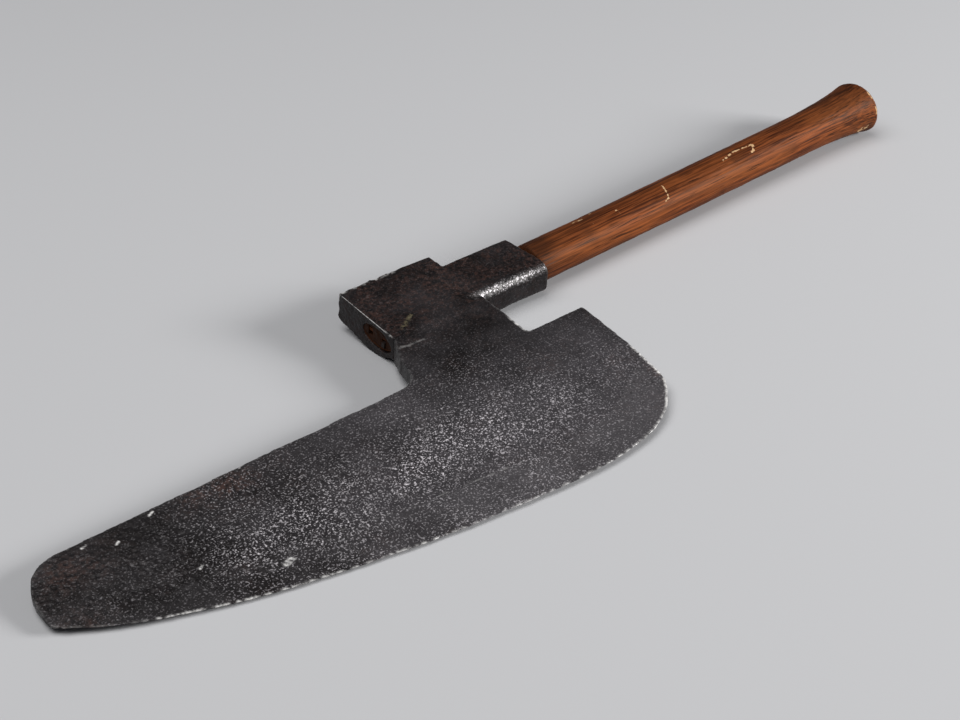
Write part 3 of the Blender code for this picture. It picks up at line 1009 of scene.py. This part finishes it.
def iron(name, light, roughness, specular):
    """Old forged iron: black scale (also painted shade on the plates' rims), rust in and round the
    pits, bright where rubbed, painted glints, and a painted highlight on the socket's corner.
    """
    made, tree, shader = new_material(name)
    place = add(tree, "ShaderNodeTexCoord", {}).outputs["Object"]
    mottle = noise(tree, place, 300.0, 5.0, 0.65)
    fine = noise(tree, place, 900.0, 3.0, 0.6)
    rust = times(tree, look(tree, "rust"), remap(tree, mottle, 0.42, 0.62))
    dust = times(tree, look(tree, "dust"), remap(tree, mottle, 0.45, 0.6))
    bare = times(tree, look(tree, "bare"), remap(tree, mottle, 0.3, 0.5))
    tone = scaled_tone(tree, place, light)
    tone = blend(tree, rust, tone, blend(tree, fine, RUST_DARK, RUST_LIGHT))
    # painted glints on the lips of the pits
    tone = blend(tree, painted_glint_specks(tree, place, look(tree, "glint")), tone, PAINTED_GLINT)
    tone = blend(tree, dust, tone, DRY_CLAY)
    # bright worn metal, and the painted highlight along the socket's corner
    tone = blend(tree, bare, tone, BARE_METAL_AND_HIGHLIGHT)
    metal = remap(tree, rust, 0.0, 0.8, 0.45, 0.0)
    metal = times(tree, metal, remap(tree, bare, 0.0, 1.0, 1.0, 0.3))
    rough = remap(tree, mottle, 0.3, 0.7, roughness - 0.08, roughness + 0.14)
    rough = plus(tree, rough, times(tree, rust, 0.3))
    normal = bump(tree, fine, 0.7, 0.00022)
    normal = bump(tree, mottle, 0.7, 0.0004, normal)
    tree.links.new(tone, shader.inputs["Base Color"])
    tree.links.new(metal, shader.inputs["Metallic"])
    tree.links.new(rough, shader.inputs["Roughness"])
    tree.links.new(normal, shader.inputs["Normal"])
    shader.inputs["Specular IOR Level"].default_value = specular
    return made


def grain_noise(tree, length, width, detail, rough):
    """Noise with features this long along the grain and this wide across it, in mm."""
    scales = (1.0 / length, 1.0 / width, 1.0 / width)
    inputs = {"Vector": look(tree, "grain", "Vector"), "Scale": scales}
    stretched = add(tree, "ShaderNodeMapping", inputs).outputs["Vector"]
    return noise(tree, stretched, 1.0, detail, rough)


def lifted(tone, lift):
    return colour(*(part * lift for part in tone))


def varnished_tone(tree, streaks, lift):
    """Red-brown streaks with warmer patches."""
    tint = grain_noise(tree, 90.0, 22.0, 2.0, 0.5)
    share = remap(tree, streaks, 0.40, 0.60)
    tone = blend(tree, share, lifted(WOOD_DARK, lift), lifted(WOOD_LIGHT, lift))
    return blend(tree, remap(tree, tint, 0.4, 0.7, 0.0, 0.55), tone, lifted(WOOD_WARM, lift))


def wood(name, coat=0.01, lift=0.66):
    """Red-brown varnished ring-porous wood: long dark pores, bare pale wood where chipped."""
    made, tree, shader = new_material(name)
    rings = grain_noise(tree, 160.0, 5.5, 3.0, 0.55)
    streaks = grain_noise(tree, 60.0, 1.5, 4.0, 0.6)
    pores = grain_noise(tree, 26.0, 0.75, 2.0, 0.5)
    torn = grain_noise(tree, 3.4, 1.3, 3.0, 0.6)
    porous = plus(tree, remap(tree, rings, 0.46, 0.62), 0.4)
    porous = times(tree, remap(tree, pores, 0.54, 0.62), porous)
    pale = minus(tree, look(tree, "worn"), remap(tree, torn, 0.3, 0.68, 0.0, 0.9))
    pale = remap(tree, pale, 0.12, 0.32)
    tone = varnished_tone(tree, streaks, lift)
    tone = blend(tree, times(tree, porous, 0.9), tone, PORE)
    # painted shade on the haft's top and underside, and darker wood at the socket, the butt and the
    # tenon's end
    tone = blend(tree, times(tree, look(tree, "dirt"), 0.95), tone, WOOD_DIRT_AND_SHADE)
    tone = blend(tree, pale, tone, PALE_WOOD)
    rough = plus(tree, remap(tree, streaks, 0.3, 0.7, 0.48, 0.62), times(tree, pale, 0.35))
    normal = bump(tree, porous, -0.6, 0.0003)
    normal = bump(tree, streaks, 0.3, 0.0004, normal)
    tree.links.new(tone, shader.inputs["Base Color"])
    tree.links.new(rough, shader.inputs["Roughness"])
    tree.links.new(normal, shader.inputs["Normal"])
    shader.inputs["Specular IOR Level"].default_value = 0.10
    shader.inputs["Specular Tint"].default_value = VARNISH_TINT
    shader.inputs["Coat Weight"].default_value = coat
    shader.inputs["Coat Roughness"].default_value = 0.36
    return made


# Studio -----------------------------------------------------------------------------

FLOOR_HALF = 6.0  # metres
FLOOR_PAPER = colour(0.58, 0.58, 0.59)
SKY = colour(0.9, 0.93, 1.0)
SKY_STRENGTH = 0.09
CAMERA_PLACE = (-0.7446, -0.7950, 0.6673)
CAMERA_DEGREES = (57.754, 0.0, -39.35)
CAMERA_LENS = 63.777
LIGHTS = (
    # name, place, size, watts
    ("key_right", (2.60, -2.30, 1.24), (1.4, 1.0), 152.0),
    ("soft_above", (-1.15, 0.38, 3.2), (3.0, 3.0), 79.0),
)


def make_floor():
    data = bpy.data.meshes.new("floor")
    signs = ((-1, -1), (1, -1), (1, 1), (-1, 1))
    corners = [(x * FLOOR_HALF, y * FLOOR_HALF, 0.0) for x, y in signs]
    data.from_pydata(corners, [], [(0, 1, 2, 3)])
    floor = bpy.data.objects.new("floor", data)
    bpy.context.collection.objects.link(floor)
    finish, _, shader = new_material("floor_paper")
    shader.inputs["Base Color"].default_value = FLOOR_PAPER
    shader.inputs["Roughness"].default_value = 0.9
    shader.inputs["Specular IOR Level"].default_value = 0.15
    data.materials.append(finish)


def area_light(name, place, size, power):
    """A rectangular lamp aimed at the middle of the floor."""
    data = bpy.data.lights.new(name, "AREA")
    data.shape = "RECTANGLE"
    data.size, data.size_y = size
    data.energy = power
    light = bpy.data.objects.new(name, data)
    light.location = place
    light.rotation_euler = (-Vector(place)).to_track_quat("-Z", "Y").to_euler()
    bpy.context.collection.objects.link(light)


def make_lights():
    for name, place, size, power in LIGHTS:
        area_light(name, place, size, power)
    world = bpy.data.worlds.new("studio")
    world.use_nodes = True
    background = world.node_tree.nodes["Background"]
    background.inputs["Color"].default_value = SKY
    background.inputs["Strength"].default_value = SKY_STRENGTH
    bpy.context.scene.world = world
    bpy.context.scene.view_settings.view_transform = "Standard"


def make_camera():
    data = bpy.data.cameras.new("camera")
    data.sensor_width = 36.0
    data.lens = CAMERA_LENS
    camera = bpy.data.objects.new("camera", data)
    camera.location = CAMERA_PLACE
    camera.rotation_euler = [math.radians(angle) for angle in CAMERA_DEGREES]
    bpy.context.collection.objects.link(camera)
    bpy.context.scene.camera = camera


def main():
    make_camera()
    make_floor()
    make_lights()
    blade_iron = iron("blade_iron", BLADE_IRON, 0.36, 0.35)
    edge_steel = iron("edge_steel", EDGE_STEEL, 0.34, 0.35)
    socket_iron = iron("socket_iron", BLADE_IRON, 0.40, 0.2)
    wedge_iron = iron("wedge_iron", WEDGE_IRON, 0.50, 0.2)
    make_plate("blade_body", "blade", ["edge_steel", "eye_socket"], [], blade_iron, "blade_iron")
    make_plate("blade_edge_steel", "edge_steel", [], ["blade"], edge_steel, "edge_steel")
    make_socket(socket_iron)
    make_haft(wood("haft_wood"))
    make_wedge("wooden_wedge", "kerf_wedge", wood("wedge_wood", 0.0, 0.5), "wedge_wood", 301)
    make_wedge("iron_wedge_driven", "iron_wedge", wedge_iron, "wedge_iron", 311)


main()
